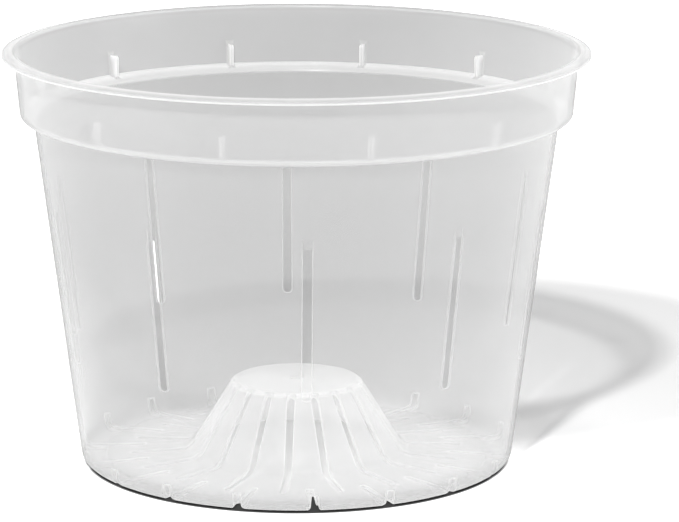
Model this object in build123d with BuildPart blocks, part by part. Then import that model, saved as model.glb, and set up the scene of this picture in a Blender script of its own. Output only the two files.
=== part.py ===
from build123d import *
from math import atan2, cos, degrees, radians, sin, tan
import os

# A clear, slotted pot for growing orchids, in millimetres. +Z is up, and the
# origin is the centre of the circle that the pot stands on. The front is -Y.
# The real pot is one moulding. Its section is drawn once, and each named
# region below is that section cut off at a plane or a cylinder, so that the
# regions meet face to face all the way from the rim to the middle of the floor.

os.makedirs("parts", exist_ok=True)

# Whole pot
pot_height = 108.5
rim_radius = 76.2
cut_overrun = 3.0

# Rim lip, which stands out from the collar and falls slightly outwards
lip_overhang = 3.1
lip_thickness = 1.0
lip_crest_width = 1.6
lip_crest_radius = 3.0
lip_droop = 0.45
lip_edge_radius = 0.4
lip_inner_radius = 1.0
lip_root_radius = 0.5
lip_root_depth = 0.8

# Collar, the deep band below the lip
collar_height = 17.1
collar_draft = 5.2
collar_thickness = 0.9
collar_corner_radius = 1.3

# Stacking ledge, where the collar steps in to the wall
ledge_width = 3.37
ledge_thickness = 1.0
ledge_fall = 0.6
ledge_outer_radius = 0.5
ledge_inner_radius = 2.2
ledge_under_radius = 0.4
ledge_skirt = 1.6

# Stacking lugs, which stand on the ledge inside the collar
lug_count = 12
lug_bearing = 15.0
lug_width = 1.0
lug_depth = 2.6
lug_rise = 5.6
lug_top_radius = 0.4

# Wall
wall_thickness = 0.8

# Wall slots, square at the top, where a ramp on the inside runs out above them
wall_slot_count = 10
wall_slot_bearing = 2.4
wall_slot_width = 2.3
wall_slot_low = 29.7
wall_slot_drop = 22.1
wall_slot_ramp = 3.3
wall_slot_end_radius = 1.0

# Foot ring, the rounded corner that the pot stands on
foot_ring_height = 6.0
foot_ring_width = 5.5
foot_corner_radius = 2.3
foot_inside_radius = 1.6

# Floor, which rises a little towards the cone
floor_width = 22.55
floor_thickness = 0.9
floor_rise = 1.0
floor_edge_radius = 2.0

# Foot notches, each of which runs in across the floor as a slot
notch_count = 18
notch_bearing = 4.65
notch_width = 1.6
notch_height = 4.2
notch_spread = 0.25
notch_flare = 0.6
notch_flare_height = 0.8
floor_slot_length = 10.0

# Root cone in the middle of the floor
cone_height = 20.4
cone_run = 11.6
cone_thickness = 0.9
cone_blend_radius = 4.0
cone_skirt_width = 6.0

# Cap of the cone, with the small round mark of the moulding gate
cap_radius = 16.9
cap_thickness = 1.0
cap_edge_radius = 2.5
cap_under_radius = 0.4
cap_margin = 1.6
gate_radius = 1.8
gate_rise = 0.3
gate_edge_radius = 0.15

# Cone slots, which start in the rounded edge of the cap and end out on the floor
cone_slot_bearing = -4.5
cone_slot_width = 1.8
cone_slot_overlap = 0.2
cone_slot_tail = 15.2

# The front of the pot, as an angle about Z
front = -90.0

# Radii from the middle of the floor out to the foot
cone_foot_radius = cap_radius + cone_run
floor_edge = cone_foot_radius + floor_width
foot_radius = floor_edge + foot_ring_width

# Heights and radii from the lip down to the ledge
lip_underside = pot_height - lip_thickness
ledge_height = pot_height - collar_height
ledge_top = ledge_height + ledge_thickness
collar_slope = tan(radians(collar_draft))
collar_span = collar_thickness / cos(radians(collar_draft))
collar_radius = rim_radius - lip_overhang - collar_slope * (lip_underside - ledge_height)

# The wall runs straight from the foot to the ledge
wall_slope = (collar_radius - ledge_width - foot_radius) / ledge_height
wall_span = wall_thickness / cos(atan2(wall_slope, 1))

# The cone's flank runs straight from its foot to its cap
cone_top_floor = floor_rise + floor_thickness
cone_angle = atan2(cone_height - cone_top_floor, cone_run)
cone_span = cone_thickness / sin(cone_angle)


def wall_outside(z):
    """Outer radius of the wall at height z."""
    return foot_radius + wall_slope * z


def wall_inside(z):
    """Inner radius of the wall at height z."""
    return wall_outside(z) - wall_span


def collar_outside(z):
    """Outer radius of the collar at height z."""
    return collar_radius + collar_slope * (z - ledge_height)


def collar_inside(z):
    """Inner radius of the collar at height z."""
    return collar_outside(z) - collar_span


def cone_outside(z):
    """Radius of the cone's upper face at height z."""
    return cap_radius + (cone_height - z) / tan(cone_angle)


# The section of the whole pot, as corners with the radius of each. It runs
# outwards along the underside and outside, over the lip and back in.
cap_underside = cone_height - cap_thickness
mouth_radius = collar_inside(pot_height)
section_corners = [
    ((cone_outside(cap_underside) - cone_span, cap_underside), cap_under_radius),
    ((cone_outside(floor_rise) - cone_span, floor_rise), cone_blend_radius + cone_thickness),
    ((floor_edge, 0), floor_edge_radius),
    ((foot_radius, 0), foot_corner_radius),
    ((wall_outside(ledge_height), ledge_height), ledge_under_radius),
    ((collar_radius, ledge_height), collar_corner_radius),
    ((collar_outside(lip_underside), lip_underside), lip_root_radius),
    ((rim_radius, lip_underside - lip_droop), lip_edge_radius),
    ((rim_radius, pot_height - lip_droop), lip_edge_radius),
    ((mouth_radius + lip_crest_width, pot_height), lip_crest_radius),
    ((mouth_radius, pot_height), lip_inner_radius),
    ((collar_inside(ledge_top), ledge_top), ledge_outer_radius),
    ((wall_inside(ledge_top), ledge_top - ledge_fall), ledge_inner_radius),
    ((wall_inside(floor_thickness), floor_thickness), foot_inside_radius),
    ((floor_edge, floor_thickness), floor_edge_radius),
    ((cone_foot_radius, cone_top_floor), cone_blend_radius),
    ((cap_radius, cone_height), cap_edge_radius),
]
corner_points = [point for point, radius in section_corners]
corner_radii = [radius for point, radius in section_corners]

with BuildSketch(Plane.XZ) as pot_section:
    with BuildLine():
        outline = FilletPolyline(
            (0, cap_underside), *corner_points, (0, cone_height), radius=corner_radii
        )
        Line(outline @ 1, outline @ 0)
    make_face()


def region(inner, outer, low, high):
    """Turns the part of the section between two radii and two heights round the pot's axis."""
    with BuildPart() as turned:
        with BuildSketch(Plane.XZ):
            add(pot_section.sketch_local)
            with Locations((inner, low)):
                Rectangle(outer - inner, high - low, align=Align.MIN, mode=Mode.INTERSECT)
        revolve(axis=Axis.Z)
    return turned.part


# Heights and radii where one region ends and the next begins
cap_edge = cap_radius - cap_margin
cone_skirt_radius = cone_foot_radius + cone_skirt_width
wall_top = ledge_height - ledge_skirt
collar_bottom = ledge_top + ledge_skirt
collar_top = lip_underside - lip_root_depth
past_rim = rim_radius + cut_overrun
past_top = pot_height + cut_overrun

# One wall slot, cut out of the front of a wall whose front is +X. Its side
# view shows the square top of the opening and the ramp above it.
wall_slot_high = ledge_height - wall_slot_drop
ramp_top = wall_slot_high + wall_slot_ramp
slot_inside = min(wall_inside(wall_slot_low), wall_inside(ramp_top)) - cut_overrun
slot_outside = max(wall_outside(wall_slot_low), wall_outside(wall_slot_high)) + cut_overrun
with BuildPart() as wall_slot:
    with BuildSketch(Plane.XZ):
        with BuildLine():
            Polyline(
                (slot_inside, wall_slot_low),
                (slot_outside, wall_slot_low),
                (slot_outside, wall_slot_high),
                (wall_outside(wall_slot_high), wall_slot_high),
                (wall_inside(ramp_top), ramp_top),
                (slot_inside, ramp_top),
                close=True,
            )
        make_face()
    extrude(amount=wall_slot_width / 2, both=True)
    fillet(wall_slot.edges().filter_by(Axis.X).group_by(Axis.Z)[0], wall_slot_end_radius)

# One foot notch with its floor slot, pointing along +X. The slot is drawn from
# above, and the notch that flares towards the bottom is drawn from outside.
floor_slot_end = floor_edge - floor_slot_length
notch_end = max(foot_radius, wall_outside(notch_height)) + cut_overrun
flare_width = notch_width / 2 + notch_spread
with BuildPart() as foot_notch:
    with BuildSketch(Plane.XY.offset(-cut_overrun)):
        with Locations((floor_slot_end, 0)):
            Rectangle(notch_end - floor_slot_end, notch_width, align=(Align.MIN, Align.CENTER))
            Circle(notch_width / 2)
    extrude(amount=notch_height + cut_overrun)
    with BuildSketch(Plane.YZ.offset(floor_edge)):
        with BuildLine():
            Polyline(
                (notch_width / 2, notch_height),
                (flare_width, notch_flare_height),
                (flare_width + notch_flare, 0),
                (flare_width + notch_flare, -cut_overrun),
                (0, -cut_overrun),
                (0, notch_height),
                close=True,
            )
        make_face()
        mirror(about=Plane.YZ)
    extrude(amount=notch_end - floor_edge)

# One cone slot, drawn from above and pointing along +X
cone_slot_inner = cap_radius - cone_slot_overlap
cone_slot_outer = cone_foot_radius + cone_slot_tail
with BuildPart() as cone_slot:
    with BuildSketch(Plane.XY.offset(-cut_overrun)):
        with Locations(((cone_slot_inner + cone_slot_outer) / 2, 0)):
            SlotOverall(cone_slot_outer - cone_slot_inner, cone_slot_width)
    extrude(amount=cone_height + cut_overrun)

# Rim lip
with BuildPart() as rim_lip:
    add(region(floor_edge, past_rim, collar_top, past_top))
rim_lip.part.label = "rim_lip"
export_step(rim_lip.part, "parts/rim_lip.step")

# Stacking collar
with BuildPart() as stacking_collar:
    add(region(floor_edge, past_rim, collar_bottom, collar_top))
stacking_collar.part.label = "stacking_collar"
export_step(stacking_collar.part, "parts/stacking_collar.step")

# Stacking ledge
with BuildPart() as stacking_ledge:
    add(region(floor_edge, past_rim, wall_top, collar_bottom))
stacking_ledge.part.label = "stacking_ledge"
export_step(stacking_ledge.part, "parts/stacking_ledge.step")

# Stacking lugs. One lug is turned through its own width from a section that
# overlaps the collar and the ledge, less the pot's section, so it fits both.
lug_top = ledge_top + lug_rise
lug_low = ledge_top - ledge_thickness / 2
lug_front = collar_inside(lug_top) - lug_depth
lug_angle = degrees(lug_width / collar_inside(lug_top))
with BuildPart() as lug:
    with BuildSketch(Plane.XZ):
        with BuildLine():
            Polyline(
                (lug_front, lug_low),
                (collar_inside(lug_low) + collar_span / 2, lug_low),
                (collar_inside(lug_top) + collar_span / 2, lug_top),
                (lug_front, lug_top),
                close=True,
            )
        lug_section = make_face()
        fillet(lug_section.vertices().sort_by_distance((lug_front, lug_top))[0], lug_top_radius)
        add(pot_section.sketch_local, mode=Mode.SUBTRACT)
    revolve(axis=Axis.Z, revolution_arc=lug_angle)

with BuildPart() as stacking_lugs:
    with PolarLocations(0, lug_count, start_angle=front + lug_bearing - lug_angle / 2):
        add(lug.part)
stacking_lugs.part.label = "stacking_lugs"
export_step(stacking_lugs.part, "parts/stacking_lugs.step")

# Slotted wall
with BuildPart() as slotted_wall:
    add(region(floor_edge, past_rim, foot_ring_height, wall_top))
    with PolarLocations(0, wall_slot_count, start_angle=front + wall_slot_bearing):
        add(wall_slot.part, mode=Mode.SUBTRACT)
slotted_wall.part.label = "slotted_wall"
export_step(slotted_wall.part, "parts/slotted_wall.step")

# Foot ring
with BuildPart() as foot_ring:
    add(region(floor_edge, past_rim, 0, foot_ring_height))
    with PolarLocations(0, notch_count, start_angle=front + notch_bearing):
        add(foot_notch.part, mode=Mode.SUBTRACT)
foot_ring.part.label = "foot_ring"
export_step(foot_ring.part, "parts/foot_ring.step")

# Slotted floor
with BuildPart() as slotted_floor:
    add(region(cone_skirt_radius, floor_edge, 0, foot_ring_height))
    with PolarLocations(0, notch_count, start_angle=front + notch_bearing):
        add(foot_notch.part, mode=Mode.SUBTRACT)
    with PolarLocations(0, notch_count, start_angle=front + cone_slot_bearing):
        add(cone_slot.part, mode=Mode.SUBTRACT)
slotted_floor.part.label = "slotted_floor"
export_step(slotted_floor.part, "parts/slotted_floor.step")

# Root cone
with BuildPart() as root_cone:
    add(region(cap_edge, cone_skirt_radius, 0, past_top))
    with PolarLocations(0, notch_count, start_angle=front + cone_slot_bearing):
        add(cone_slot.part, mode=Mode.SUBTRACT)
root_cone.part.label = "root_cone"
export_step(root_cone.part, "parts/root_cone.step")

# Cone cap
with BuildPart() as cone_cap:
    add(region(0, cap_edge, 0, past_top))
    with BuildSketch(Plane.XY.offset(cone_height)):
        Circle(gate_radius)
    extrude(amount=gate_rise)
    fillet(cone_cap.edges().group_by(Axis.Z)[-1], gate_edge_radius)
cone_cap.part.label = "cone_cap"
export_step(cone_cap.part, "parts/cone_cap.step")
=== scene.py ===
import math

import bmesh
import bpy
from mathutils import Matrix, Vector


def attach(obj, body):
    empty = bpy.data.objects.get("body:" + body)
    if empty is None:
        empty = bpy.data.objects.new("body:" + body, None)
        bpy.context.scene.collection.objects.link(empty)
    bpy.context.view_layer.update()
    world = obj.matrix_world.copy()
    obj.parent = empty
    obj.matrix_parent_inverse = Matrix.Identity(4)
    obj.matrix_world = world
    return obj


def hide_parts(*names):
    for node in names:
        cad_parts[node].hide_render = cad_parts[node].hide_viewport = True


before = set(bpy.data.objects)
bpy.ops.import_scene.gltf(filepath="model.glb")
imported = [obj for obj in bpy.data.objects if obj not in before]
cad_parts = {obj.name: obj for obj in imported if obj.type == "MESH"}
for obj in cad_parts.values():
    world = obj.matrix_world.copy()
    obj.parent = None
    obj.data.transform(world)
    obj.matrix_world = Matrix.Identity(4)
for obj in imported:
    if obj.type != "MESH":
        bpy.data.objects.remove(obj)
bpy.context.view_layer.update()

# A clear, slotted orchid pot. The real pot is one moulding, so the nine CAD
# regions are replaced by one seamless shell with the same section, slots,
# notches and lugs. Lengths are in millimetres until the mesh is written.
MM = 0.001

# Whole pot, as in the CAD
POT_HEIGHT = 108.5
RIM_RADIUS = 76.2

# Lip
LIP_THICKNESS = 1.0
LIP_OVERHANG = 3.1
LIP_CREST = 1.6
LIP_CREST_RADIUS = 3.0
LIP_DROOP = 0.45
LIP_EDGE_RADIUS = 0.4
LIP_INNER_RADIUS = 1.0
LIP_ROOT_RADIUS = 0.5

# Collar and ledge
COLLAR_HEIGHT = 17.1
COLLAR_SLOPE = math.tan(math.radians(5.2))
COLLAR_SPAN = 0.9 / math.cos(math.radians(5.2))
COLLAR_CORNER_RADIUS = 1.3
LEDGE_WIDTH = 3.37
LEDGE_THICKNESS = 1.0
LEDGE_FALL = 0.6
LEDGE_OUTER_RADIUS = 0.5
LEDGE_INNER_RADIUS = 2.2
LEDGE_UNDER_RADIUS = 0.4

# Lugs
LUG_COUNT = 12
LUG_COLUMN = 15
LUG_WIDTH = 1.0
LUG_DEPTH = 2.6
LUG_RISE = 5.6
LUG_TOP_RADIUS = 0.4

# Wall and its slots
WALL_THICKNESS = 0.8
WALL_SLOT_COUNT = 10
WALL_SLOT_COLUMN = 2
WALL_SLOT_SHIFT = 0.4
WALL_SLOT_WIDTH = 2.3
WALL_SLOT_LOW = 29.7
WALL_SLOT_HIGH = 69.3
WALL_SLOT_RAMP = 3.3
WALL_SLOT_END_RADIUS = 1.0

# Floor, foot and notches
FLOOR_THICKNESS = 0.9
FLOOR_RISE = 1.0
FLOOR_WIDTH = 22.55
FLOOR_EDGE_RADIUS = 2.0
FOOT_RING_WIDTH = 5.5
FOOT_CORNER_RADIUS = 2.3
FOOT_INSIDE_RADIUS = 1.6
NOTCH_COUNT = 18
NOTCH_COLUMN = 4
NOTCH_SHIFT = 0.65
NOTCH_WIDTH = 1.6
NOTCH_HEIGHT = 4.2
NOTCH_SPREAD = 0.25
NOTCH_FLARE = 0.6
NOTCH_FLARE_HEIGHT = 0.8
FLOOR_SLOT_LENGTH = 10.0

# Cone, its cap and its slots
CONE_HEIGHT = 20.4
CONE_RUN = 11.6
CONE_THICKNESS = 0.9
CONE_BLEND_RADIUS = 4.0
CAP_RADIUS = 16.9
CAP_THICKNESS = 1.0
CAP_EDGE_RADIUS = 2.5
CAP_UNDER_RADIUS = 0.4
GATE_RADIUS = 1.8
GATE_RISE = 0.3
GATE_EDGE_RADIUS = 0.15
CONE_SLOT_COLUMN = 15
CONE_SLOT_TURN = -0.15
CONE_SLOT_WIDTH = 1.8
CONE_SLOT_OVERLAP = 0.2
CONE_SLOT_TAIL = 15.2

# Rounding of every slot's edge, and of the lugs'. ROUND_MIDDLE is how far the
# middle of a rounded edge lies in from its corner, as a share of its radius.
SLOT_EDGE = 0.16
SLOT_BORDER = 0.22
LUG_EDGE = 0.14
ROUND_MIDDLE = 0.29

# Painted highlights along the moulding's edges, from 0 to 1, which make them
# milkier and lighter. A wall slot's top, where the ramp runs out, gets less than
# the wall around it.
SLOT_GLOW = 0.42
SLOT_FACE_GLOW = 0.45
SLOT_TOP_GLOW = 0.8
WALL_SLOT_END_GLOW = -0.6
NOTCH_GLOW = 0.75
LEDGE_GLOW = 0.85
LUG_FOOT_GLOW = 0.3
LUG_MIDDLE_GLOW = 0.45

# Milkiness of a face of the plastic, from 0, clear, to 1: seen straight on and
# aslant, and what is added at the outline, in thicker regions and along edges
WALL_HAZE = 0.20
SLANT_HAZE = 0.23
SLANT_HAZE_FACING = (0.0, 0.7)
OUTLINE_HAZE = 0.60
OUTLINE_HAZE_FACING = (0.8, 1.0)
COLLAR_HAZE = 0.20
FLOOR_HAZE = 0.16
CAP_HAZE = 0.22
EDGE_HAZE = 0.42
CLOUD_SCALE = 38.0
CLOUD_HAZE = 0.05
LEAST_HAZE = 0.03
MOST_HAZE = 0.95

# Grey of the plastic, with painted shade at the foot, on the floor, up the
# wall, in the collar and on the lip, painted light where it is seen aslant, a
# painted dark outline and painted highlights along edges, with the levels in
# metres between which it changes
FOOT_PAINTED_SHADE = 0.64
FLOOR_PAINTED_SHADE = 0.80
CONE_TINT = 0.88
FOOT_LEVELS = (0.001, 0.007)
WALL_PAINTED_SHADE = 0.86
WALL_LEVELS = (0.020, 0.060)
COLLAR_PAINTED_SHADE = 0.97
LIP_PAINTED_SHADE = 0.94
SLANT_PAINTED_LIGHT = 1.14
SLANT_PAINTED_LIGHT_FACING = (0.35, 0.85)
OUTLINE_PAINTED_SHADE = 0.42
OUTLINE_PAINTED_SHADE_FACING = (0.80, 0.96)
OUTLINE_LEVELS = (0.102, 0.106)
OUTLINE_RADII = (0.0750, 0.0760)
EDGE_PAINTED_HIGHLIGHT = 0.22

# How far one region's look fades into the next, in millimetres, and where the
# floor's begins and ends, from its edge outwards
REGION_FADE = 1.0
FLOOR_HAZE_FADE = (2.0, -3.0)
FLOOR_PAINTED_SHADE_FADE = (2.0, -7.0)

# Surface of the plastic: ripples all over, and flow lines on the floor, whose
# levels and radii are in metres
ROUGHNESS = 0.24
IOR = 1.49
SCATTER = 0.55
RIPPLE_SCALE = 60.0
RIPPLE_STRENGTH = 0.35
RIPPLE_DEPTH = 0.001
FLOW_ACROSS = 15.0
FLOW_ALONG = 90.0
FLOW_SCALE = 0.8
FLOW_BEND = 1.6
FLOW_WIDTH = 0.03
FLOW_HAZE = 0.06
FLOW_STRENGTH = 0.25
FLOW_DEPTH = 0.0003
FLOW_LEVELS = (0.002, 0.004)
FLOW_INNER_RADII = (0.030, 0.036)
FLOW_OUTER_RADII = (0.050, 0.053)

# Stage paper, in metres: its colour, and its colour seen through the plastic,
# with painted light under the pot, painted shadow behind it and lighter far off
PAPER = 0.92
FLOOR_UNDER = 0.72
FLOOR_BEHIND = 0.42
FLOOR_BEHIND_REACH = (0.05, 0.09)
FLOOR_BEYOND = 0.72
FLOOR_BEYOND_REACH = (0.15, 0.50)
FLOOR_DROP = -0.00005

# Painted contact shadow, a dark line where the foot touches the paper, and the
# middle of the shadow, away from which the paper is lifted to white
CONTACT_REACH = 0.0018
CONTACT_SHADE = 0.03
CONTACT_INSET = 1.6
CONTACT_DISTANCE = 0.006
CONTACT_FULL = 0.50
SHADOW_MIDDLE = (0.045, 0.11, 0.0)
SHADOW_REACH = (0.09, 0.135)

# Backdrop, which curves up far behind the pot
STAGE_HALF = 4.0
STAGE_BACK = 3.0
STAGE_CURVE = 1.0
STAGE_CURVE_STEPS = 16
STAGE_TOP = 3.5
AMBIENT = 0.19

# Camera, fitted to the rim, collar and foot circles of the photograph
PHOTO_WIDTH = 679
SENSOR_WIDTH = 36.0
FOCAL_PIXELS = 3974.8
SHIFT_PIXELS = (43.0, -7.6)
CAMERA_PLACE = (0.0, -1.0156, 0.2797)
CAMERA_TILT = 12.53
CAMERA_CLIP = (0.05, 50.0)

# Faces of the thin shell that a ray may pass, more than Blender's own limit
FACES_PASSED = 32

# The mesh has one column of faces for each degree. The front is -Y.
COLUMNS = 360
FRONT = -90.0

# Edges that turn more than this, in degrees, stay crisp
CRISP_ANGLE = 50.0

# Radii and heights that follow from those above
cone_foot_radius = CAP_RADIUS + CONE_RUN
floor_edge = cone_foot_radius + FLOOR_WIDTH
foot_radius = floor_edge + FOOT_RING_WIDTH
ledge_height = POT_HEIGHT - COLLAR_HEIGHT
ledge_top = ledge_height + LEDGE_THICKNESS
lip_underside = POT_HEIGHT - LIP_THICKNESS
collar_radius = RIM_RADIUS - LIP_OVERHANG - COLLAR_SLOPE * (lip_underside - ledge_height)
wall_slope = (collar_radius - LEDGE_WIDTH - foot_radius) / ledge_height
wall_span = WALL_THICKNESS / math.cos(math.atan(wall_slope))
cone_top_floor = FLOOR_RISE + FLOOR_THICKNESS
cone_angle = math.atan2(CONE_HEIGHT - cone_top_floor, CONE_RUN)
cone_span = CONE_THICKNESS / math.sin(cone_angle)
cap_underside = CONE_HEIGHT - CAP_THICKNESS


def wall_outside(z):
    """Outer radius of the wall at height z."""
    return foot_radius + wall_slope * z


def wall_inside(z):
    """Inner radius of the wall at height z."""
    return wall_outside(z) - wall_span


def collar_outside(z):
    """Outer radius of the collar at height z."""
    return collar_radius + COLLAR_SLOPE * (z - ledge_height)


def collar_inside(z):
    """Inner radius of the collar at height z."""
    return collar_outside(z) - COLLAR_SPAN


def cone_outside(z):
    """Radius of the cone's upper face at height z."""
    return CAP_RADIUS + (CONE_HEIGHT - z) / math.tan(cone_angle)


class Profile:
    """One side of the pot's section: straight runs joined by arcs, measured along its length."""

    ARC_STEPS = 40

    def __init__(self, start, corners, end):
        points = [start, *(point for point, radius in corners), end]
        self.points = [start]
        self.arcs = []
        self.length = [0.0]
        for i, (point, radius) in enumerate(corners, 1):
            self._round(Vector(points[i - 1]), Vector(points[i]), Vector(points[i + 1]), radius)
        self._add(end)

    def _add(self, point):
        last = Vector(self.points[-1])
        self.points.append(tuple(point))
        self.length.append(self.length[-1] + (Vector(point) - last).length)

    def _round(self, before, corner, after, radius):
        into = (corner - before).normalized()
        out = (after - corner).normalized()
        turn = into.angle(out)
        reach = radius * math.tan(turn / 2)
        first = corner - into * reach
        side = Vector((-into.y, into.x))
        if side.dot(out) < 0:
            side.negate()
        centre = first + side * radius
        self._add(first)
        begin = self.length[-1]
        for i in range(1, self.ARC_STEPS + 1):
            angle = turn * i / self.ARC_STEPS
            self._add(centre - side * radius * math.cos(angle) + into * radius * math.sin(angle))
        self.arcs.append((begin, self.length[-1]))

    def at(self, place):
        """Radius and height at a length along the profile."""
        low, high = 0, len(self.length) - 1
        while high - low > 1:
            middle = (low + high) // 2
            if self.length[middle] <= place:
                low = middle
            else:
                high = middle
        span = self.length[high] - self.length[low]
        share = (place - self.length[low]) / span if span else 0.0
        a, b = self.points[low], self.points[high]
        return a[0] + (b[0] - a[0]) * share, a[1] + (b[1] - a[1]) * share

    def find(self, axis, value, begin=0.0):
        """First length after begin at which the radius (0) or the height (1) reaches value."""
        for i in range(len(self.points) - 1):
            if self.length[i + 1] < begin:
                continue
            a, b = self.points[i][axis], self.points[i + 1][axis]
            if a != b and min(a, b) <= value <= max(a, b):
                place = self.length[i] + (self.length[i + 1] - self.length[i]) * (value - a) / (b - a)
                if place >= begin - 1e-6:
                    return place
        raise ValueError(f"the profile doesn't reach {value}")

    def arc(self, index, share):
        """Length at a share of the way round an arc."""
        begin, end = self.arcs[index]
        return begin + (end - begin) * share


mouth_radius = collar_inside(POT_HEIGHT)
outside = Profile(
    (0, cap_underside),
    [
        ((cone_outside(cap_underside) - cone_span, cap_underside), CAP_UNDER_RADIUS),
        ((cone_outside(FLOOR_RISE) - cone_span, FLOOR_RISE), CONE_BLEND_RADIUS + CONE_THICKNESS),
        ((floor_edge, 0), FLOOR_EDGE_RADIUS),
        ((foot_radius, 0), FOOT_CORNER_RADIUS),
        ((wall_outside(ledge_height), ledge_height), LEDGE_UNDER_RADIUS),
        ((collar_radius, ledge_height), COLLAR_CORNER_RADIUS),
        ((collar_outside(lip_underside), lip_underside), LIP_ROOT_RADIUS),
        ((RIM_RADIUS, lip_underside - LIP_DROOP), LIP_EDGE_RADIUS),
        ((RIM_RADIUS, POT_HEIGHT - LIP_DROOP), LIP_EDGE_RADIUS),
        ((mouth_radius + LIP_CREST, POT_HEIGHT), LIP_CREST_RADIUS),
    ],
    (mouth_radius, POT_HEIGHT),
)
inside = Profile(
    (0, CONE_HEIGHT),
    [
        ((CAP_RADIUS, CONE_HEIGHT), CAP_EDGE_RADIUS),
        ((cone_foot_radius, cone_top_floor), CONE_BLEND_RADIUS),
        ((floor_edge, FLOOR_THICKNESS), FLOOR_EDGE_RADIUS),
        ((wall_inside(FLOOR_THICKNESS), FLOOR_THICKNESS), FOOT_INSIDE_RADIUS),
        ((wall_inside(ledge_top), ledge_top - LEDGE_FALL), LEDGE_INNER_RADIUS),
        ((collar_inside(ledge_top), ledge_top), LEDGE_OUTER_RADIUS),
        ((mouth_radius, POT_HEIGHT), LIP_INNER_RADIUS),
    ],
    (mouth_radius + LIP_CREST / 2, POT_HEIGHT),
)
SIDES = (outside, inside)

# Numbers of the arcs along both profiles
CAP_ARC, CONE_ARC, FLOOR_ARC, FOOT_ARC, LEDGE_IN_ARC, LEDGE_OUT_ARC, LIP_ARC = range(7)

# Numbers of the outside's last arcs, which go round the lip
LIP_LOW_ARC, LIP_HIGH_ARC, LIP_CREST_ARC = range(7, 10)

# Rows of the mesh, each a place along the outside and one along the inside.
# A row's name, where it has one, marks where a slot's or a lug's patch begins
# or ends.
rows = []
marks = {}


def add_row(out_place, in_place, *names):
    for name in names:
        marks[name] = len(rows)
    rows.append((out_place, in_place))


def add_arc(index, steps, first=0):
    for i in range(first, steps + 1):
        add_row(outside.arc(index, i / steps), inside.arc(index, i / steps))


def add_radius(radius, *names):
    add_row(outside.find(0, radius), inside.find(0, radius), *names)


def add_height(z, *names, inner=None):
    start_out, start_in = outside.arc(FOOT_ARC, 0.2), inside.arc(FOOT_ARC, 0.2)
    add_row(outside.find(1, z, start_out), inside.find(1, z if inner is None else inner, start_in), *names)


# Rows from the cap out to the foot, by radius, and up to the lip, by height
ARC_ROWS = 6
CAP_ROWS = ((14.9, 0.0), (15.4, 0.13), (15.9, 0.27, "cone_slot_start"))
CAP_EDGE_ROWS = (0.62, 0.8, 1.0)
CONE_ROWS = (
    18.3, 19.4, 20.5, 21.6, 22.7, 23.8, 24.9, 25.8, 26.4, 27.0, 27.6, 28.2, 28.8, 29.4, 30.0, 30.8, 32.0,
    33.4, 34.8, 36.2, 37.6,
)
FLOOR_ROWS = (
    (39.5, "notch_start"), (41.25,), (42.5,), (44.6, "cone_slot_end"), (45.9,), (47.3,), (49.0,), (50.5,),
    (51.25,), (52.6,),
)
LOWER_WALL_ROWS = (
    (3.3,), (5.2, "notch_end"), (7.0,), (9.5,), (12.5,), (16.0,), (20.0,), (24.0,), (27.0,),
    (28.5, "wall_slot_start"),
)
SLOT_ROW_COUNT = 11
SLOT_ROW_START = 30.9
SLOT_ROW_STEP = 3.74
SLOT_ROW_STEP_INSIDE = 4.05
UPPER_WALL_ROWS = (
    (70.5, 74.0, "wall_slot_end"), (75.0, 76.5), (78.5, 79.5), (82.0, 82.5), (85.5, 85.5), (88.5, 88.5),
)
LEDGE_CORNER_ROWS = ((0.0, 0.0), (0.2, 0.2), (0.4, 0.4), (0.65, 0.6, "lug_start"), (1.0, 1.0))
LEDGE_ROWS = (0.35, 0.7)
COLLAR_ROWS = ((94.2,), (95.4,), (96.5,), (97.4,), (99.2, "lug_end"), (101.0,), (103.0,), (105.0,))

for radius, share, *names in CAP_ROWS:
    add_row(outside.find(0, radius), inside.arc(CAP_ARC, share), *names)
for share in CAP_EDGE_ROWS:
    add_radius(inside.at(inside.arc(CAP_ARC, share))[0])
for radius in CONE_ROWS:
    add_radius(radius)
for radius, *names in FLOOR_ROWS:
    add_radius(radius, *names)
add_arc(FOOT_ARC, ARC_ROWS)
for z, *names in LOWER_WALL_ROWS:
    add_height(z, *names)
for i in range(SLOT_ROW_COUNT):
    add_height(SLOT_ROW_START + SLOT_ROW_STEP * i, inner=SLOT_ROW_START + SLOT_ROW_STEP_INSIDE * i)
for z, inner, *names in UPPER_WALL_ROWS:
    add_height(z, *names, inner=inner)
for out_share, in_share, *names in LEDGE_CORNER_ROWS:
    add_row(outside.arc(LEDGE_IN_ARC, out_share), inside.arc(LEDGE_IN_ARC, in_share), *names)
for share in LEDGE_ROWS:
    ledge_out = outside.arcs[LEDGE_IN_ARC][1], outside.arcs[LEDGE_OUT_ARC][0]
    ledge_in = inside.arcs[LEDGE_IN_ARC][1], inside.arcs[LEDGE_OUT_ARC][0]
    add_row(*(a + (b - a) * share for a, b in (ledge_out, ledge_in)))
add_arc(LEDGE_OUT_ARC, ARC_ROWS)
for z, *names in COLLAR_ROWS:
    add_height(z, *names)
add_arc(LIP_ARC, ARC_ROWS)

# The lip closes the section, from the outside's last row round to the inside's,
# over three arcs with a painted highlight each
LIP_GLOW = ((LIP_LOW_ARC, 1.0), (LIP_HIGH_ARC, 0.1), (LIP_CREST_ARC, 0.7))
lip_places = [
    (outside.arc(index, i / ARC_ROWS), shine) for index, shine in LIP_GLOW for i in range(ARC_ROWS + 1)
]

# Below NOTCH_LEVEL the columns keep to the notches. Between a turn's start and
# its end they turn to the wall slots' bearing, and further up to the lugs'.
NOTCH_LEVEL = 3
LOWER_TURN = (6.0, 26.0)
UPPER_TURN = (75.0, 88.0)


def share_of_turn(z, turn):
    return min(max((z - turn[0]) / (turn[1] - turn[0]), 0.0), 1.0)


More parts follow.
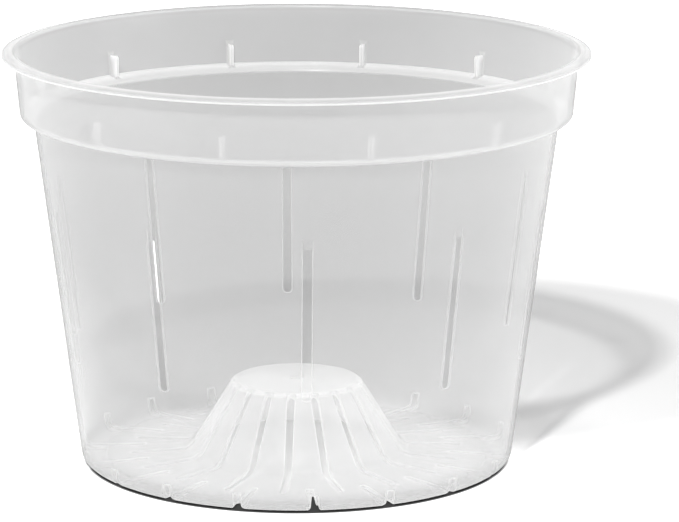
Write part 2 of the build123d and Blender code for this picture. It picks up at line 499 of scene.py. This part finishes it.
def shift(z, radius):
    """Turn of the columns, in degrees, which lines them up with the slots at each level."""
    if radius < foot_radius and z < NOTCH_LEVEL:
        return NOTCH_SHIFT
    if z < LOWER_TURN[1]:
        return NOTCH_SHIFT + (WALL_SLOT_SHIFT - NOTCH_SHIFT) * share_of_turn(z, LOWER_TURN)
    return WALL_SLOT_SHIFT * (1.0 - share_of_turn(z, UPPER_TURN))


def turned(radius, z, column, across=0.0):
    """The point at a radius and height, on a column, with an arc length beside it."""
    angle = math.radians(FRONT + shift(z, radius) + column * 360 / COLUMNS) + across / radius
    return radius * math.cos(angle), radius * math.sin(angle), z


vertices = []
glow = []
faces = []


def vertex(point, edge=0.0):
    """Adds a vertex. edge is how much painted highlight it carries, from 0 to 1."""
    vertices.append(point)
    glow.append(edge)
    return len(vertices) - 1


def full_ring(radius, z, count=COLUMNS, edge=0.0):
    step = COLUMNS // count
    return [vertex(turned(radius, z, i * step), edge) for i in range(count)]


def join_rings(a, b, skip=()):
    """Faces between two closed rings with as many vertices, apart from the columns in skip."""
    n = len(a)
    for i in range(n):
        if i not in skip:
            j = (i + 1) % n
            faces.append((a[i], a[j], b[j], b[i]))


def thin_ring(a, b):
    """Faces from a ring to one with a third as many vertices."""
    n = len(b)
    for i in range(n):
        p, q, r, s = (a[(3 * i + k) % len(a)] for k in range(4))
        u, v = b[i], b[(i + 1) % n]
        faces.extend([(p, q, u), (q, r, v, u), (r, s, v)])


def disc(ring, steps):
    """Closes a ring towards the middle of the cap. A step is (radius, height, number of vertices)."""
    for radius, z, count in steps:
        inner = full_ring(radius, z, count)
        if count == len(ring):
            join_rings(ring, inner)
        else:
            thin_ring(ring, inner)
        ring = inner
    middle = vertex((0.0, 0.0, steps[-1][1]))
    for i in range(len(ring)):
        faces.append((ring[i], ring[(i + 1) % len(ring)], middle))


# Painted highlight where the section turns a corner, along the outside and the inside
CORNER_GLOW = ((CAP_ARC, 0.0, 0.5), (LEDGE_OUT_ARC, 0.35, 0.0), (LIP_ARC, 0.1, 0.1))
ARC_SLACK = 0.01


def row_glow(s, place):
    """Painted highlight of a whole row, where the section turns a corner or, inside, on the ledge."""
    side = SIDES[s]
    if s and side.arcs[LEDGE_IN_ARC][0] < place < side.arcs[LEDGE_OUT_ARC][1]:
        return LEDGE_GLOW
    for arc, outer, inner in CORNER_GLOW:
        begin, end = side.arcs[arc]
        if begin - ARC_SLACK <= place <= end + ARC_SLACK:
            middle = 1 - abs(2 * (place - begin) / (end - begin) - 1)
            return (inner if s else outer) * min(1.0, 2 * middle)
    return 0.0


grid = [
    [full_ring(*side.at(row[s]), edge=row_glow(s, row[s])) for row in rows] for s, side in enumerate(SIDES)
]
removed = [[set() for _ in rows] for _ in SIDES]


def columns_of(first, count):
    """Columns of a slot, notch or lug that repeats evenly round the pot."""
    return range(first, first + COLUMNS, COLUMNS // count)


def take_out(side, first, last, column, reach):
    """Takes a block of faces out of one side, and gives the loop of vertices round it."""
    for k in range(first, last):
        removed[side][k].update((column + i) % COLUMNS for i in range(-reach, reach))
    ring = grid[side]
    at = [(column + i) % COLUMNS for i in range(-reach, reach + 1)]
    loop = [ring[first][c] for c in at]
    loop += [ring[k][at[-1]] for k in range(first + 1, last)]
    loop += [ring[last][c] for c in reversed(at)]
    loop += [ring[k][at[0]] for k in range(last - 1, first, -1)]
    return loop


def outline(start, sides, end):
    """A slot's outline as (across, along), in the order of take_out's loop."""
    return [*start, *sides, *reversed(end), *((-x, y) for x, y in reversed(sides))]


def grown(points, amount):
    """The outline moved outwards by an amount."""
    moved = []
    n = len(points)
    area = sum(Vector(points[i]).cross(Vector(points[(i + 1) % n])) for i in range(n))
    sign = 1 if area > 0 else -1
    for i in range(n):
        a, b, c = Vector(points[i - 1]), Vector(points[i]), Vector(points[(i + 1) % n])
        p, q = (b - a).normalized(), (c - b).normalized()
        out = Vector((p.y + q.y, -p.x - q.x)) * sign
        if out.length < 1e-6:
            moved.append(tuple(b))
            continue
        out.normalize()
        lean = max(out.dot(Vector((p.y, -p.x)) * sign), 0.5)
        moved.append(tuple(b + out * amount / lean))
    return moved


def on_side(side, column, point):
    """A point of an outline, placed on one side of the shell."""
    radius, z = SIDES[side].at(point[1])
    return Vector(turned(radius, z, column, point[0]))


def cut_slot(first, last, column, reach, out_line, in_line, turn=0.0, end_glow=1.0, slot_glow=SLOT_GLOW):
    """Cuts a slot with rounded edges through both sides of the shell, turned a little from its column.

    slot_glow is how much painted highlight its edges carry, and end_glow the share of it at the upper or
    outer end.
    """
    at = column + turn
    mid, edge = ROUND_MIDDLE * SLOT_EDGE, SLOT_EDGE
    border = edge + SLOT_BORDER
    lines = (out_line, in_line)
    half_way = len(out_line) // 2
    at_end = range(half_way, half_way + 2 * reach + 1)
    shine = [slot_glow * (end_glow if i in at_end else 1.0) for i in range(len(out_line))]
    base = [[on_side(s, at, p) for p in lines[s]] for s in range(2)]
    half = [[on_side(s, at, p) for p in grown(lines[s], mid)] for s in range(2)]
    wide = [[on_side(s, at, p) for p in grown(lines[s], edge)] for s in range(2)]
    loops = []
    for s in range(2):
        hole = take_out(s, first, last, column, reach)
        deep, shallow = [], []
        for i, point in enumerate(base[s]):
            through = (base[1 - s][i] - point).normalized()
            deep.append(vertex(tuple(point + through * edge), SLOT_FACE_GLOW * shine[i]))
            shallow.append(vertex(tuple(half[s][i] + through * mid), shine[i]))
        top = [vertex(tuple(p), SLOT_TOP_GLOW * share) for p, share in zip(wide[s], shine)]
        rim = [vertex(tuple(on_side(s, at, p))) for p in grown(lines[s], border)]
        join_rings(hole, rim)
        join_rings(rim, top)
        join_rings(top, shallow)
        join_rings(shallow, deep)
        loops.append(deep)
    join_rings(*loops)


def side_points(side, first, last, width_at):
    return [(width_at(*SIDES[side].at(rows[k][side])), rows[k][side]) for k in range(first + 1, last)]


def round_end(middle, radius, steps, way, nearest=None):
    """Points of the arc that ends a slot, from its left to its right. way is -1 at the start.

    nearest is the place of the slot's first row, which may lie within the arc.
    """
    into = 0.0 if nearest is None else max(way * (nearest - middle), 0.0)
    begin = math.asin(min(into / radius, 1.0))
    points = []
    for i in range(steps + 1):
        angle = begin + (math.pi - 2 * begin) * (i + 1) / (steps + 2)
        points.append((-radius * math.cos(angle), middle + way * radius * math.sin(angle)))
    return points


def flat_end(place, half_width, steps):
    return [(half_width * (2 * i / steps - 1), place) for i in range(steps + 1)]


# Cone slots, round at both ends when seen from above
first, last, reach = marks["cone_slot_start"], marks["cone_slot_end"], 5
half_width = CONE_SLOT_WIDTH / 2
cone_slot_inner = CAP_RADIUS - CONE_SLOT_OVERLAP + half_width
cone_slot_outer = cone_foot_radius + CONE_SLOT_TAIL - half_width
inner_row = SIDES[1].at(rows[first + 1][1])[0]


def seen_from_above(side, middle, radius, way, nearest=None):
    """A slot's round end, drawn from above and set down on one side of the shell."""
    return [(x, side.find(0, y)) for x, y in round_end(middle, radius, 2 * reach, way, nearest)]


def cone_slot_half_width(radius, z):
    """Half the width of a cone slot, which narrows in its round end at the cap."""
    into = max(cone_slot_inner - radius, 0.0)
    return math.sqrt(max(half_width ** 2 - into ** 2, 0.0))


for column in columns_of(CONE_SLOT_COLUMN, NOTCH_COUNT):
    lines = [
        outline(
            seen_from_above(side, cone_slot_inner, half_width, -1, inner_row),
            side_points(s, first, last, cone_slot_half_width),
            seen_from_above(side, cone_slot_outer, half_width, 1),
        )
        for s, side in enumerate(SIDES)
    ]
    cut_slot(first, last, column, reach, *lines, CONE_SLOT_TURN)

# Foot notches, each with its floor slot
first, last, reach = marks["notch_start"], marks["notch_end"], 4
floor_slot_end = floor_edge - FLOOR_SLOT_LENGTH


def notch_half_width(radius, z):
    """Half the width of a notch, which flares towards the bottom of the foot."""
    if radius < floor_edge:
        return NOTCH_WIDTH / 2
    spread = NOTCH_SPREAD * (NOTCH_HEIGHT - z) / (NOTCH_HEIGHT - NOTCH_FLARE_HEIGHT)
    flare = NOTCH_FLARE * max(NOTCH_FLARE_HEIGHT - z, 0.0) / NOTCH_FLARE_HEIGHT
    return NOTCH_WIDTH / 2 + min(max(spread, 0.0), NOTCH_SPREAD) + flare


for column in columns_of(NOTCH_COLUMN, NOTCH_COUNT):
    lines = [
        outline(
            seen_from_above(side, floor_slot_end, NOTCH_WIDTH / 2, -1),
            side_points(s, first, last, notch_half_width),
            flat_end(side.find(1, NOTCH_HEIGHT, side.arc(FOOT_ARC, 0.2)), NOTCH_WIDTH / 2, 2 * reach),
        )
        for s, side in enumerate(SIDES)
    ]
    cut_slot(first, last, column, reach, *lines, slot_glow=NOTCH_GLOW)

# Wall slots, round at the bottom and square at the top, where the inside runs
# up a ramp
first, last, reach = marks["wall_slot_start"], marks["wall_slot_end"], 3
half_width = WALL_SLOT_WIDTH / 2


def slot_bottom(side):
    """The lower end of a wall slot, flat between two rounded corners."""
    start = side.find(1, WALL_SLOT_LOW, side.arc(FOOT_ARC, 1.0))
    corner = half_width - WALL_SLOT_END_RADIUS
    points = []
    for i in range(2 * reach + 1):
        angle = math.pi * i / (2 * reach)
        x = -math.cos(angle)
        flat = 0 if abs(x) < 1e-6 else math.copysign(corner, x)
        points.append((
            WALL_SLOT_END_RADIUS * x + flat,
            start + WALL_SLOT_END_RADIUS * (1 - math.sin(angle)),
        ))
    return points


for column in columns_of(WALL_SLOT_COLUMN, WALL_SLOT_COUNT):
    lines = [
        outline(
            slot_bottom(side),
            side_points(s, first, last, lambda radius, z: half_width),
            flat_end(
                side.find(1, WALL_SLOT_HIGH + s * WALL_SLOT_RAMP, side.arc(FOOT_ARC, 1.0)),
                half_width, 2 * reach,
            ),
        )
        for s, side in enumerate(SIDES)
    ]
    cut_slot(first, last, column, reach, *lines, end_glow=WALL_SLOT_END_GLOW)

# Lugs, which stand on the ledge inside the collar
first, last, reach = marks["lug_start"], marks["lug_end"], 1
lug_top = ledge_top + LUG_RISE
lug_front = collar_inside(lug_top) - LUG_DEPTH
lug_foot = inside.find(0, lug_front, inside.arc(LEDGE_IN_ARC, 0.3))
lug_back = inside.find(1, lug_top, inside.arc(LEDGE_OUT_ARC, 1.0))
lug_line = Profile(
    inside.at(lug_foot),
    [((lug_front, lug_top), LUG_TOP_RADIUS)],
    inside.at(lug_back),
)
lug_steps = last - first
for column in columns_of(LUG_COLUMN, LUG_COUNT):
    half = LUG_WIDTH / 2
    footprint = outline(
        flat_end(lug_foot, half, 2),
        side_points(1, first, last, lambda radius, z: half),
        flat_end(lug_back, half, 2),
    )
    hole = take_out(1, first, last, column, reach)
    foot = [vertex(tuple(on_side(1, column, p)), LUG_FOOT_GLOW) for p in footprint]
    join_rings(hole, foot)
    right = foot[2:3 + lug_steps]
    left = [foot[0], *reversed(foot[4 + lug_steps:])]
    middle = [foot[1]]
    shoulders = {-1: [foot[0]], 1: [foot[2]]}
    crests = {-1: [foot[0]], 1: [foot[2]]}
    whole = lug_line.length[-1]
    for k in range(1, lug_steps):
        radius, z = lug_line.at(whole * k / lug_steps)
        base_radius, base_z = inside.at(rows[first + k][1])
        back = Vector((base_radius - radius, base_z - z)).normalized() * LUG_EDGE
        middle.append(vertex(turned(radius, z, column), LUG_MIDDLE_GLOW))
        for way in (-1, 1):
            shoulders[way].append(vertex(turned(radius + back.x, z + back.y, column, way * half), 1.0))
            crests[way].append(vertex(turned(radius, z, column, way * (half - LUG_EDGE)), 1.0))
    middle.append(foot[3 + lug_steps])
    for way, end in ((-1, foot[4 + lug_steps]), (1, foot[2 + lug_steps])):
        shoulders[way].append(end)
        crests[way].append(end)
    for way, base in ((-1, left), (1, right)):
        for k in range(lug_steps):
            for a, b in ((base, shoulders[way]), (shoulders[way], crests[way]), (crests[way], middle)):
                corner = [a[k], a[k + 1], b[k + 1], b[k]]
                corner = list(dict.fromkeys(corner))
                if len(corner) > 2:
                    faces.append(tuple(corner))

# The rest of both sides, the lip, and the two faces of the cap
for s in range(2):
    for k in range(len(rows) - 1):
        join_rings(grid[s][k], grid[s][k + 1], removed[s][k])
ring = grid[0][-1]
for place, shine in lip_places:
    following = full_ring(*outside.at(place), edge=shine)
    join_rings(ring, following)
    ring = following
join_rings(ring, grid[1][-1])


def flat_rows(rings, z):
    return [(radius, z, count) for radius, count in rings]


# Rings of the cap's two faces, each a radius and a number of vertices
CAP_TOP_RINGS = (
    (14.6, 360), (13.4, 360), (12.4, 120), (9.8, 120), (7.4, 120), (6.2, 40), (4.2, 40), (2.7, 40),
    (GATE_RADIUS, 40),
)
CAP_UNDER_RINGS = (
    (14.2, 360), (13.0, 360), (12.0, 120), (9.4, 120), (7.0, 120), (5.8, 40), (3.6, 40), (1.8, 40),
)
GATE_RINGS = ((GATE_RADIUS - GATE_EDGE_RADIUS, 40), (0.8, 40))
gate_top = CONE_HEIGHT + GATE_RISE
gate_round = ROUND_MIDDLE * GATE_EDGE_RADIUS
disc(grid[1][0], [
    *flat_rows(CAP_TOP_RINGS, CONE_HEIGHT),
    (GATE_RADIUS, gate_top - GATE_EDGE_RADIUS, 40),
    (GATE_RADIUS - gate_round, gate_top - gate_round, 40),
    *flat_rows(GATE_RINGS, gate_top),
])
disc(grid[0][0], flat_rows(CAP_UNDER_RINGS, cap_underside))

shell_mesh = bpy.data.meshes.new("clear_shell")
shell_mesh.from_pydata([tuple(c * MM for c in v) for v in vertices], [], faces)
# Painted highlights along the moulding's edges, kept on each vertex
shell_mesh.attributes.new("painted_edge_highlight", "FLOAT", "POINT").data.foreach_set("value", glow)
work = bmesh.new()
work.from_mesh(shell_mesh)
loose = [v for v in work.verts if not v.link_faces]
bmesh.ops.delete(work, geom=loose, context="VERTS")
bmesh.ops.recalc_face_normals(work, faces=work.faces)
work.to_mesh(shell_mesh)
work.free()
shell_mesh.polygons.foreach_set("use_smooth", [True] * len(shell_mesh.polygons))
shell_mesh.set_sharp_from_angle(angle=math.radians(CRISP_ANGLE))
shell = bpy.data.objects.new("clear_shell", shell_mesh)
bpy.context.scene.collection.objects.link(shell)
weighted = shell.modifiers.new("even_shading", "WEIGHTED_NORMAL")
weighted.keep_sharp = True
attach(shell, "root")
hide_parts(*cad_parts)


# Material helpers
def new_material(name):
    material = bpy.data.materials.new(name)
    material.use_nodes = True
    material.node_tree.nodes.clear()
    return material, material.node_tree


def add_node(tree, kind, inputs=(), **settings):
    node = tree.nodes.new(kind)
    for key, value in settings.items():
        setattr(node, key, value)
    for key, value in dict(inputs).items():
        if isinstance(value, bpy.types.NodeSocket):
            tree.links.new(value, node.inputs[key])
        else:
            node.inputs[key].default_value = value
    return node


def maths(tree, operation, *values, clamp=False):
    node = add_node(tree, "ShaderNodeMath", dict(enumerate(values)), operation=operation, use_clamp=clamp)
    return node.outputs[0]


def ramp(tree, value, low, high, start=0.0, end=1.0):
    """Value carried smoothly from start, at low, to end, at high."""
    node = add_node(
        tree, "ShaderNodeMapRange", {0: value, 1: low, 2: high, 3: start, 4: end},
        interpolation_type="SMOOTHSTEP",
    )
    return node.outputs[0]


def clear_polypropylene():
    material, tree = new_material("clear_polypropylene")
    place = add_node(tree, "ShaderNodeTexCoord").outputs["Object"]
    x, y, height = add_node(tree, "ShaderNodeSeparateXYZ", {0: place}).outputs
    bearing = maths(tree, "ARCTAN2", x, maths(tree, "MULTIPLY", y, -1.0))
    radius = add_node(tree, "ShaderNodeCombineXYZ", {0: x, 1: y}).outputs[0]
    radius = add_node(tree, "ShaderNodeVectorMath", {0: radius}, operation="LENGTH").outputs["Value"]
    facing = add_node(tree, "ShaderNodeLayerWeight", {"Blend": 0.5}).outputs["Facing"]
    # Painted highlights along the moulding's edges
    edge = add_node(tree, "ShaderNodeAttribute", attribute_name="painted_edge_highlight").outputs["Fac"]
    clouds = add_node(tree, "ShaderNodeTexNoise", {"Vector": place, "Scale": CLOUD_SCALE, "Detail": 3.0})
    clouds = maths(tree, "SUBTRACT", clouds.outputs["Fac"], 0.5)

    # Milkiness: more at the outline, in the collar, floor and cap, and along edges
    haze = ramp(tree, facing, *SLANT_HAZE_FACING, WALL_HAZE, SLANT_HAZE)
    haze = maths(tree, "ADD", haze, ramp(tree, facing, *OUTLINE_HAZE_FACING, 0.0, OUTLINE_HAZE))
    for value, low, high, more in (
        (height, ledge_height, ledge_height + REGION_FADE, COLLAR_HAZE),
        (radius, *(floor_edge + fade for fade in FLOOR_HAZE_FADE), FLOOR_HAZE),
        (radius, CAP_RADIUS + REGION_FADE, CAP_RADIUS, CAP_HAZE),
    ):
        haze = maths(tree, "ADD", haze, ramp(tree, value, low * MM, high * MM, 0.0, more))
    haze = maths(tree, "MULTIPLY_ADD", clouds, CLOUD_HAZE, haze)
    haze = maths(tree, "MULTIPLY_ADD", edge, EDGE_HAZE, haze)

    # Flow lines, which run out across the floor
    across = maths(tree, "MULTIPLY", bearing, FLOW_ACROSS)
    along = maths(tree, "MULTIPLY", radius, FLOW_ALONG)
    flow = add_node(tree, "ShaderNodeCombineXYZ", {0: across, 1: along}).outputs[0]
    flow = add_node(
        tree, "ShaderNodeTexNoise",
        {"Vector": flow, "Scale": FLOW_SCALE, "Detail": 2.0, "Distortion": FLOW_BEND},
    )
    flow = maths(tree, "ABSOLUTE", maths(tree, "SUBTRACT", flow.outputs["Fac"], 0.5))
    flow = ramp(tree, flow, 0.0, FLOW_WIDTH, 1.0, 0.0)
    flow = maths(tree, "MULTIPLY", flow, ramp(tree, height, *FLOW_LEVELS, 1.0, 0.0))
    flow = maths(tree, "MULTIPLY", flow, ramp(tree, radius, *FLOW_INNER_RADII))
    flow = maths(tree, "MULTIPLY", flow, ramp(tree, radius, *FLOW_OUTER_RADII, 1.0, 0.0))
    haze = maths(tree, "MULTIPLY_ADD", flow, FLOW_HAZE, haze)
    haze = maths(tree, "MINIMUM", maths(tree, "MAXIMUM", haze, LEAST_HAZE), MOST_HAZE)

    ripple = add_node(tree, "ShaderNodeTexNoise", {"Vector": place, "Scale": RIPPLE_SCALE, "Detail": 2.0})
    bump = add_node(
        tree, "ShaderNodeBump",
        {"Height": ripple.outputs["Fac"], "Strength": RIPPLE_STRENGTH, "Distance": RIPPLE_DEPTH},
    )
    bump = add_node(
        tree, "ShaderNodeBump",
        {"Height": flow, "Strength": FLOW_STRENGTH, "Distance": FLOW_DEPTH, "Normal": bump.outputs["Normal"]},
    )

    # Grey of the plastic, with painted shade by region and up the wall, painted light where it is seen aslant
    # and a painted dark outline
    grey_and_painted_light = ramp(tree, radius, *((floor_edge + fade) * MM for fade in FLOOR_PAINTED_SHADE_FADE), FOOT_PAINTED_SHADE, FLOOR_PAINTED_SHADE)
    grey_and_painted_light = ramp(tree, height, *FOOT_LEVELS, grey_and_painted_light, CONE_TINT)
    for factor in (
        ramp(tree, height, ledge_height * MM, (ledge_height + REGION_FADE) * MM, 1.0, COLLAR_PAINTED_SHADE),
        ramp(tree, height, (lip_underside - REGION_FADE) * MM, lip_underside * MM, 1.0, LIP_PAINTED_SHADE),
        ramp(tree, height, *WALL_LEVELS, 1.0, WALL_PAINTED_SHADE),
        # Painted light on the plastic where it is seen aslant
        ramp(tree, facing, *SLANT_PAINTED_LIGHT_FACING, 1.0, SLANT_PAINTED_LIGHT),
    ):
        grey_and_painted_light = maths(tree, "MULTIPLY", grey_and_painted_light, factor)
    # A painted dark outline where the surface turns away, below the lip and round the lip's rim
    below_lip = ramp(tree, height, *OUTLINE_LEVELS, 1.0, 0.0)
    outline = maths(tree, "MAXIMUM", below_lip, ramp(tree, radius, *OUTLINE_RADII))
    outline = maths(tree, "MULTIPLY", ramp(tree, facing, *OUTLINE_PAINTED_SHADE_FACING), outline)
    grey_and_painted_light = maths(tree, "MULTIPLY", grey_and_painted_light, maths(tree, "MULTIPLY_ADD", outline, OUTLINE_PAINTED_SHADE - 1.0, 1.0))
    # Painted highlights along the moulding's edges, with less at a wall slot's top
    grey_and_painted_light = maths(tree, "MULTIPLY_ADD", edge, EDGE_PAINTED_HIGHLIGHT, grey_and_painted_light, clamp=True)
    grey_and_painted_light = add_node(tree, "ShaderNodeCombineColor", {0: grey_and_painted_light, 1: grey_and_painted_light, 2: grey_and_painted_light}).outputs[0]

    plastic = add_node(
        tree,
        "ShaderNodeBsdfPrincipled",
        {"Base Color": grey_and_painted_light, "Roughness": ROUGHNESS, "IOR": IOR, "Normal": bump.outputs["Normal"]},
    )
    scattered = add_node(tree, "ShaderNodeBsdfTranslucent", {"Color": grey_and_painted_light})
    body = add_node(
        tree, "ShaderNodeMixShader", {"Fac": SCATTER, 1: plastic.outputs[0], 2: scattered.outputs[0]},
    )
    clear = add_node(tree, "ShaderNodeBsdfTransparent", {"Color": (1.0, 1.0, 1.0, 1.0)})
    mixed = add_node(tree, "ShaderNodeMixShader", {"Fac": haze, 1: clear.outputs[0], 2: body.outputs[0]})
    add_node(tree, "ShaderNodeOutputMaterial", {"Surface": mixed.outputs[0]})
    return material


shell_mesh.materials.append(clear_polypropylene())


# Stage: a pale floor that curves up far behind the pot
def pale_floor():
    material, tree = new_material("pale_floor")
    place = add_node(tree, "ShaderNodeTexCoord").outputs["Object"]
    distance = add_node(tree, "ShaderNodeVectorMath", {0: place}, operation="LENGTH").outputs["Value"]
    path = add_node(tree, "ShaderNodeLightPath").outputs
    is_camera = path["Is Camera Ray"]
    through = maths(tree, "GREATER_THAN", path["Transparent Depth"], 0.5)
    through = maths(tree, "MULTIPLY", is_camera, through)
    direct = maths(tree, "SUBTRACT", is_camera, through)
    seen = maths(tree, "MAXIMUM", direct, path["Is Glossy Ray"])

    # A painted contact shadow: a dark line where the foot stands, for the camera alone
    painted_contact_shadow = add_node(tree, "ShaderNodeAmbientOcclusion", {"Distance": CONTACT_DISTANCE}, samples=8)
    painted_contact_shadow = ramp(tree, painted_contact_shadow.outputs["AO"], 0.0, CONTACT_FULL)
    under = add_node(
        tree, "ShaderNodeVectorMath", {0: place, 1: (0.0, -CONTACT_REACH, 0.0)}, operation="DISTANCE",
    ).outputs["Value"]
    under = ramp(tree, under, (foot_radius - CONTACT_INSET) * MM, foot_radius * MM, CONTACT_SHADE, 1.0)
    painted_contact_shadow = maths(tree, "MULTIPLY", painted_contact_shadow, under)
    painted_contact_shadow = add_node(
        tree, "ShaderNodeMix", {"Factor": direct, "A": 1.0, "B": painted_contact_shadow}, data_type="FLOAT",
    ).outputs["Result"]

    # The paper, and through the plastic a greyer paper, with painted light under the pot and painted shadow
    # behind it
    behind = ramp(tree, distance, *FLOOR_BEHIND_REACH, FLOOR_UNDER, FLOOR_BEHIND)
    beyond = ramp(tree, distance, *FLOOR_BEYOND_REACH, 0.0, FLOOR_BEYOND - FLOOR_BEHIND)
    behind = maths(tree, "ADD", behind, beyond)
    colour = add_node(
        tree, "ShaderNodeMix", {"Factor": through, "A": PAPER, "B": behind}, data_type="FLOAT",
    ).outputs["Result"]
    colour = maths(tree, "MULTIPLY", painted_contact_shadow, colour)
    colour = add_node(tree, "ShaderNodeCombineColor", {0: colour, 1: colour, 2: colour}).outputs[0]
    paper = add_node(tree, "ShaderNodeBsdfDiffuse", {"Color": colour})

    # White, away from the shadow, to the camera's direct sight and in reflections
    from_shadow = add_node(tree, "ShaderNodeVectorMath", {0: place, 1: SHADOW_MIDDLE}, operation="DISTANCE")
    strength = ramp(tree, from_shadow.outputs["Value"], *SHADOW_REACH)
    strength = maths(tree, "MULTIPLY", painted_contact_shadow, strength)
    strength = maths(tree, "MULTIPLY", seen, strength)
    lift = add_node(tree, "ShaderNodeEmission", {"Color": (1.0, 1.0, 1.0, 1.0), "Strength": strength})
    white = add_node(tree, "ShaderNodeAddShader", {0: paper.outputs[0], 1: lift.outputs[0]})
    add_node(tree, "ShaderNodeOutputMaterial", {"Surface": white.outputs[0]})
    return material


floor_mesh = bpy.data.meshes.new("studio_floor")
profile = [(-STAGE_HALF, FLOOR_DROP)]
for i in range(STAGE_CURVE_STEPS + 1):
    angle = math.radians(90 * i / STAGE_CURVE_STEPS)
    profile.append(
        (STAGE_BACK + STAGE_CURVE * math.sin(angle), FLOOR_DROP + STAGE_CURVE * (1 - math.cos(angle)))
    )
profile.append((STAGE_BACK + STAGE_CURVE, STAGE_TOP))
points = [(x, y, z) for y, z in profile for x in (-STAGE_HALF, STAGE_HALF)]
strips = [(2 * i, 2 * i + 1, 2 * i + 3, 2 * i + 2) for i in range(len(profile) - 1)]
floor_mesh.from_pydata(points, [], strips)
floor = bpy.data.objects.new("studio_floor", floor_mesh)
bpy.context.scene.collection.objects.link(floor)
floor_mesh.materials.append(pale_floor())

# World: plain white to the camera, in reflections and to the light that the
# plastic scatters through itself, and dim to all other light
world = bpy.data.worlds.new("studio")
bpy.context.scene.world = world
world.use_nodes = True
tree = world.node_tree
tree.nodes.clear()
path = add_node(tree, "ShaderNodeLightPath").outputs
seen = maths(tree, "MAXIMUM", path["Is Camera Ray"], path["Is Glossy Ray"])
seen = maths(tree, "MAXIMUM", seen, path["Is Transmission Ray"])
ambient = add_node(tree, "ShaderNodeBackground", {"Color": (1.0, 1.0, 1.0, 1.0), "Strength": AMBIENT})
backdrop = add_node(tree, "ShaderNodeBackground", {"Color": (1.0, 1.0, 1.0, 1.0), "Strength": 1.0})
mixed = add_node(tree, "ShaderNodeMixShader", {"Fac": seen, 1: ambient.outputs[0], 2: backdrop.outputs[0]})
add_node(tree, "ShaderNodeOutputWorld", {"Surface": mixed.outputs[0]})


def softbox(name, place, target, width, depth, watts):
    light = bpy.data.lights.new(name, "AREA")
    light.shape = "RECTANGLE"
    light.size = width
    light.size_y = depth
    light.energy = watts
    lamp = bpy.data.objects.new(name, light)
    bpy.context.scene.collection.objects.link(lamp)
    lamp.location = place
    lamp.rotation_euler = (Vector(target) - Vector(place)).to_track_quat("-Z", "Y").to_euler()
    lamp.visible_camera = False


def around(bearing, elevation, distance, height=0.05):
    """A place at a bearing from the front, an elevation and a distance."""
    a, e = math.radians(bearing), math.radians(elevation)
    return (
        distance * math.sin(a) * math.cos(e),
        -distance * math.cos(a) * math.cos(e),
        height + distance * math.sin(e),
    )


# Lamps: place, target, width and depth in metres, and watts
FILL_TARGET = (0, 0, 0.06)
LAMPS = {
    "key": ((-0.19, -1.0, 1.0), (0, 0, 0.03), 0.07, 0.07, 14.5),
    "top": ((0.0, 0.0, 1.8), (0, 0, 0), 0.3, 0.3, 6.0),
    "right_fill": (around(75, 12, 1.4), FILL_TARGET, 0.8, 0.5, 10.0),
    "left_fill": (around(-75, 12, 1.4), FILL_TARGET, 0.8, 0.5, 3.5),
}
for name, values in LAMPS.items():
    softbox(name, *values)

camera_data = bpy.data.cameras.new("camera")
camera = bpy.data.objects.new("camera", camera_data)
bpy.context.scene.collection.objects.link(camera)
camera_data.sensor_width = SENSOR_WIDTH
camera_data.lens = FOCAL_PIXELS * SENSOR_WIDTH / PHOTO_WIDTH
camera_data.shift_x = SHIFT_PIXELS[0] / PHOTO_WIDTH
camera_data.shift_y = SHIFT_PIXELS[1] / PHOTO_WIDTH
camera_data.clip_start, camera_data.clip_end = CAMERA_CLIP
camera.location = CAMERA_PLACE
camera.rotation_euler = (math.radians(90 - CAMERA_TILT), 0.0, 0.0)
bpy.context.scene.camera = camera

bpy.context.scene.view_settings.view_transform = "Standard"
bpy.context.scene.cycles.transparent_max_bounces = FACES_PASSED
